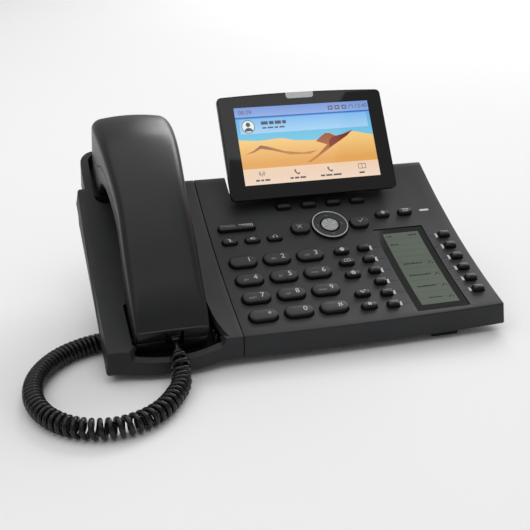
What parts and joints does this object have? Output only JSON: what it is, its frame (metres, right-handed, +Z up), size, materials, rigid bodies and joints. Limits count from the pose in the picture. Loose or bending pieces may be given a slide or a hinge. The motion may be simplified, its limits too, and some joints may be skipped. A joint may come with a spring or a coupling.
{
  "type": "desk phone",
  "caption": "Wedge-shaped desk set with a tilting colour display, a label display with function keys, a round navigation key and a corded handset in a side cradle.",
  "frame": {"origin": "on the table, at the centre of the phone's footprint box without its cord", "axes": "+X to the phone's right as its user sees it, +Y from its front edge to its back, +Z up"},
  "size_m": [0.2901, 0.2243, 0.1271],
  "materials": {
    "housing": "fine matt moulding grain",
    "face_plastic": "fine matt moulding grain",
    "key_plastic": "satin, printed light legends",
    "handset_plastic": "satin",
    "display_rim": "satin gloss",
    "display_glass": "polished",
    "light_lens": "frosted",
    "label_display": "polished window over a grey label display",
    "cord_sheath": "glossy",
    "plug_plastic": "smoky clear plastic",
    "circuit_board": "solder mask",
    "speaker_metal": "pressed steel and paper cone",
    "nav_metal": "radially brushed"
  },
  "bodies": {
    "phone_body": {"base_cover": "housing", "top_cover": "face_plastic", "cradle_cover": "face_plastic", "lcd_window": "label_display", "main_board": "circuit_board", "loudspeaker": "speaker_metal", "foot_stand": "housing", "curly_cord": "cord_sheath", "base_plug": "plug_plastic"},
    "display": {"display_bezel": "display_rim", "display_glass": "display_glass", "message_light": "light_lens", "display_rear_cover": "housing"},
    "handset": {"handset_back_shell": "handset_plastic", "handset_inner_shell": "handset_plastic", "handset_plug": "plug_plastic"},
    "hook": {"hook_lever": "key_plastic"},
    "nav_ring": {"nav_ring": "key_plastic"},
    "nav_button": {"nav_button": "nav_metal"},
    "volume_rocker": {"volume_rocker": "key_plastic"},
    "key_1": {"key_1": "key_plastic"},
    "key_2": {"key_2": "key_plastic"},
    "key_3": {"key_3": "key_plastic"},
    "key_4": {"key_4": "key_plastic"},
    "key_5": {"key_5": "key_plastic"},
    "key_6": {"key_6": "key_plastic"},
    "key_7": {"key_7": "key_plastic"},
    "key_8": {"key_8": "key_plastic"},
    "key_9": {"key_9": "key_plastic"},
    "key_star": {"key_star": "key_plastic"},
    "key_0": {"key_0": "key_plastic"},
    "key_hash": {"key_hash": "key_plastic"},
    "soft_key_1": {"soft_key_1": "key_plastic"},
    "soft_key_2": {"soft_key_2": "key_plastic"},
    "soft_key_3": {"soft_key_3": "key_plastic"},
    "soft_key_4": {"soft_key_4": "key_plastic"},
    "mute_key": {"mute_key": "key_plastic"},
    "speaker_key": {"speaker_key": "key_plastic"},
    "headset_key": {"headset_key": "key_plastic"},
    "dnd_key": {"dnd_key": "key_plastic"},
    "directory_key": {"directory_key": "key_plastic"},
    "menu_key": {"menu_key": "key_plastic"},
    "transfer_key": {"transfer_key": "key_plastic"},
    "hold_key": {"hold_key": "key_plastic"},
    "record_key": {"record_key": "key_plastic"},
    "message_key": {"message_key": "key_plastic"},
    "cancel_key": {"cancel_key": "key_plastic"},
    "confirm_key": {"confirm_key": "key_plastic"},
    "function_key_left_1": {"function_key_left_1": "key_plastic"},
    "function_key_right_1": {"function_key_right_1": "key_plastic"},
    "function_key_left_2": {"function_key_left_2": "key_plastic"},
    "function_key_right_2": {"function_key_right_2": "key_plastic"},
    "function_key_left_3": {"function_key_left_3": "key_plastic"},
    "function_key_right_3": {"function_key_right_3": "key_plastic"},
    "function_key_left_4": {"function_key_left_4": "key_plastic"},
    "function_key_right_4": {"function_key_right_4": "key_plastic"},
    "function_key_left_5": {"function_key_left_5": "key_plastic"},
    "function_key_right_5": {"function_key_right_5": "key_plastic"},
    "function_key_left_6": {"function_key_left_6": "key_plastic"},
    "function_key_right_6": {"function_key_right_6": "key_plastic"}
  },
  "joints": [
    {"name": "display_tilt", "type": "hinge", "parent": "phone_body", "child": "display", "pos_m": [0.033, 0.04153, 0.06575], "axis": [1, 0, 0], "range_deg": [-30, 5]},
    {"name": "handset_lift", "type": "slide", "parent": "phone_body", "child": "handset", "axis": [0, -0.3987, 0.9171], "range_m": [0, 0.06]},
    {"name": "hook_swing", "type": "hinge", "parent": "phone_body", "child": "hook", "pos_m": [-0.084, 0.0525, 0.06561], "axis": [1, 0, 0], "range_deg": [0, 22.5]},
    {"name": "nav_rock", "type": "hinge", "parent": "phone_body", "child": "nav_ring", "pos_m": [0.0361, 0.00394, 0.04613], "axis": [1, 0, 0], "range_deg": [-2, 2], "stiffness_Nm_per_rad": 0.1},
    {"name": "nav_press", "type": "slide", "parent": "phone_body", "child": "nav_button", "axis": [0, 0.3987, -0.9171], "range_m": [0, 0.001], "stiffness_N_per_m": 400, "springref_m": -0.0004},
    {"name": "volume_rock", "type": "hinge", "parent": "phone_body", "child": "volume_rocker", "pos_m": [-0.0255, 0.0096, 0.0469], "axis": [0, 0.9171, 0.3987], "range_deg": [-2.3, 2.3], "stiffness_Nm_per_rad": 0.1},
    {"name": "key_1_press", "type": "slide", "parent": "phone_body", "child": "key_1", "axis": [0, 0.3987, -0.9171], "range_m": [0, 0.0013], "stiffness_N_per_m": 300, "springref_m": -0.0004},
    {"name": "key_2_press", "type": "slide", "parent": "phone_body", "child": "key_2", "axis": [0, 0.3987, -0.9171], "range_m": [0, 0.0013], "stiffness_N_per_m": 300, "springref_m": -0.0004},
    {"name": "key_3_press", "type": "slide", "parent": "phone_body", "child": "key_3", "axis": [0, 0.3987, -0.9171], "range_m": [0, 0.0013], "stiffness_N_per_m": 300, "springref_m": -0.0004},
    {"name": "key_4_press", "type": "slide", "parent": "phone_body", "child": "key_4", "axis": [0, 0.3987, -0.9171], "range_m": [0, 0.0013], "stiffness_N_per_m": 300, "springref_m": -0.0004},
    {"name": "key_5_press", "type": "slide", "parent": "phone_body", "child": "key_5", "axis": [0, 0.3987, -0.9171], "range_m": [0, 0.0013], "stiffness_N_per_m": 300, "springref_m": -0.0004},
    {"name": "key_6_press", "type": "slide", "parent": "phone_body", "child": "key_6", "axis": [0, 0.3987, -0.9171], "range_m": [0, 0.0013], "stiffness_N_per_m": 300, "springref_m": -0.0004},
    {"name": "key_7_press", "type": "slide", "parent": "phone_body", "child": "key_7", "axis": [0, 0.3987, -0.9171], "range_m": [0, 0.0013], "stiffness_N_per_m": 300, "springref_m": -0.0004},
    {"name": "key_8_press", "type": "slide", "parent": "phone_body", "child": "key_8", "axis": [0, 0.3987, -0.9171], "range_m": [0, 0.0013], "stiffness_N_per_m": 300, "springref_m": -0.0004},
    {"name": "key_9_press", "type": "slide", "parent": "phone_body", "child": "key_9", "axis": [0, 0.3987, -0.9171], "range_m": [0, 0.0013], "stiffness_N_per_m": 300, "springref_m": -0.0004},
    {"name": "key_star_press", "type": "slide", "parent": "phone_body", "child": "key_star", "axis": [0, 0.3987, -0.9171], "range_m": [0, 0.0013], "stiffness_N_per_m": 300, "springref_m": -0.0004},
    {"name": "key_0_press", "type": "slide", "parent": "phone_body", "child": "key_0", "axis": [0, 0.3987, -0.9171], "range_m": [0, 0.0013], "stiffness_N_per_m": 300, "springref_m": -0.0004},
    {"name": "key_hash_press", "type": "slide", "parent": "phone_body", "child": "key_hash", "axis": [0, 0.3987, -0.9171], "range_m": [0, 0.0013], "stiffness_N_per_m": 300, "springref_m": -0.0004},
    {"name": "soft_key_1_press", "type": "slide", "parent": "phone_body", "child": "soft_key_1", "axis": [0, 0.3987, -0.9171], "range_m": [0, 0.001], "stiffness_N_per_m": 300, "springref_m": -0.0004},
    {"name": "soft_key_2_press", "type": "slide", "parent": "phone_body", "child": "soft_key_2", "axis": [0, 0.3987, -0.9171], "range_m": [0, 0.001], "stiffness_N_per_m": 300, "springref_m": -0.0004},
    {"name": "soft_key_3_press", "type": "slide", "parent": "phone_body", "child": "soft_key_3", "axis": [0, 0.3987, -0.9171], "range_m": [0, 0.001], "stiffness_N_per_m": 300, "springref_m": -0.0004},
    {"name": "soft_key_4_press", "type": "slide", "parent": "phone_body", "child": "soft_key_4", "axis": [0, 0.3987, -0.9171], "range_m": [0, 0.001], "stiffness_N_per_m": 300, "springref_m": -0.0004},
    {"name": "mute_key_press", "type": "slide", "parent": "phone_body", "child": "mute_key", "axis": [0, 0.3987, -0.9171], "range_m": [0, 0.001], "stiffness_N_per_m": 300, "springref_m": -0.0004},
    {"name": "speaker_key_press", "type": "slide", "parent": "phone_body", "child": "speaker_key", "axis": [0, 0.3987, -0.9171], "range_m": [0, 0.001], "stiffness_N_per_m": 300, "springref_m": -0.0004},
    {"name": "headset_key_press", "type": "slide", "parent": "phone_body", "child": "headset_key", "axis": [0, 0.3987, -0.9171], "range_m": [0, 0.001], "stiffness_N_per_m": 300, "springref_m": -0.0004},
    {"name": "dnd_key_press", "type": "slide", "parent": "phone_body", "child": "dnd_key", "axis": [0, 0.3987, -0.9171], "range_m": [0, 0.001], "stiffness_N_per_m": 300, "springref_m": -0.0004},
    {"name": "directory_key_press", "type": "slide", "parent": "phone_body", "child": "directory_key", "axis": [0, 0.3987, -0.9171], "range_m": [0, 0.001], "stiffness_N_per_m": 300, "springref_m": -0.0004},
    {"name": "menu_key_press", "type": "slide", "parent": "phone_body", "child": "menu_key", "axis": [0, 0.3987, -0.9171], "range_m": [0, 0.001], "stiffness_N_per_m": 300, "springref_m": -0.0004},
    {"name": "transfer_key_press", "type": "slide", "parent": "phone_body", "child": "transfer_key", "axis": [0, 0.3987, -0.9171], "range_m": [0, 0.001], "stiffness_N_per_m": 300, "springref_m": -0.0004},
    {"name": "hold_key_press", "type": "slide", "parent": "phone_body", "child": "hold_key", "axis": [0, 0.3987, -0.9171], "range_m": [0, 0.001], "stiffness_N_per_m": 300, "springref_m": -0.0004},
    {"name": "record_key_press", "type": "slide", "parent": "phone_body", "child": "record_key", "axis": [0, 0.3987, -0.9171], "range_m": [0, 0.001], "stiffness_N_per_m": 300, "springref_m": -0.0004},
    {"name": "message_key_press", "type": "slide", "parent": "phone_body", "child": "message_key", "axis": [0, 0.3987, -0.9171], "range_m": [0, 0.001], "stiffness_N_per_m": 300, "springref_m": -0.0004},
    {"name": "cancel_key_press", "type": "slide", "parent": "phone_body", "child": "cancel_key", "axis": [0, 0.3987, -0.9171], "range_m": [0, 0.001], "stiffness_N_per_m": 300, "springref_m": -0.0004},
    {"name": "confirm_key_press", "type": "slide", "parent": "phone_body", "child": "confirm_key", "axis": [0, 0.3987, -0.9171], "range_m": [0, 0.001], "stiffness_N_per_m": 300, "springref_m": -0.0004},
    {"name": "function_key_left_1_press", "type": "slide", "parent": "phone_body", "child": "function_key_left_1", "axis": [0, 0.3987, -0.9171], "range_m": [0, 0.001], "stiffness_N_per_m": 300, "springref_m": -0.0004},
    {"name": "function_key_right_1_press", "type": "slide", "parent": "phone_body", "child": "function_key_right_1", "axis": [0, 0.3987, -0.9171], "range_m": [0, 0.001], "stiffness_N_per_m": 300, "springref_m": -0.0004},
    {"name": "function_key_left_2_press", "type": "slide", "parent": "phone_body", "child": "function_key_left_2", "axis": [0, 0.3987, -0.9171], "range_m": [0, 0.001], "stiffness_N_per_m": 300, "springref_m": -0.0004},
    {"name": "function_key_right_2_press", "type": "slide", "parent": "phone_body", "child": "function_key_right_2", "axis": [0, 0.3987, -0.9171], "range_m": [0, 0.001], "stiffness_N_per_m": 300, "springref_m": -0.0004},
    {"name": "function_key_left_3_press", "type": "slide", "parent": "phone_body", "child": "function_key_left_3", "axis": [0, 0.3987, -0.9171], "range_m": [0, 0.001], "stiffness_N_per_m": 300, "springref_m": -0.0004},
    {"name": "function_key_right_3_press", "type": "slide", "parent": "phone_body", "child": "function_key_right_3", "axis": [0, 0.3987, -0.9171], "range_m": [0, 0.001], "stiffness_N_per_m": 300, "springref_m": -0.0004},
    {"name": "function_key_left_4_press", "type": "slide", "parent": "phone_body", "child": "function_key_left_4", "axis": [0, 0.3987, -0.9171], "range_m": [0, 0.001], "stiffness_N_per_m": 300, "springref_m": -0.0004},
    {"name": "function_key_right_4_press", "type": "slide", "parent": "phone_body", "child": "function_key_right_4", "axis": [0, 0.3987, -0.9171], "range_m": [0, 0.001], "stiffness_N_per_m": 300, "springref_m": -0.0004},
    {"name": "function_key_left_5_press", "type": "slide", "parent": "phone_body", "child": "function_key_left_5", "axis": [0, 0.3987, -0.9171], "range_m": [0, 0.001], "stiffness_N_per_m": 300, "springref_m": -0.0004},
    {"name": "function_key_right_5_press", "type": "slide", "parent": "phone_body", "child": "function_key_right_5", "axis": [0, 0.3987, -0.9171], "range_m": [0, 0.001], "stiffness_N_per_m": 300, "springref_m": -0.0004},
    {"name": "function_key_left_6_press", "type": "slide", "parent": "phone_body", "child": "function_key_left_6", "axis": [0, 0.3987, -0.9171], "range_m": [0, 0.001], "stiffness_N_per_m": 300, "springref_m": -0.0004},
    {"name": "function_key_right_6_press", "type": "slide", "parent": "phone_body", "child": "function_key_right_6", "axis": [0, 0.3987, -0.9171], "range_m": [0, 0.001], "stiffness_N_per_m": 300, "springref_m": -0.0004}
  ],
  "couplings": [
    {"joint": "hook_swing", "follows": "handset_lift", "rad_per_m": 6.4}
  ]
}
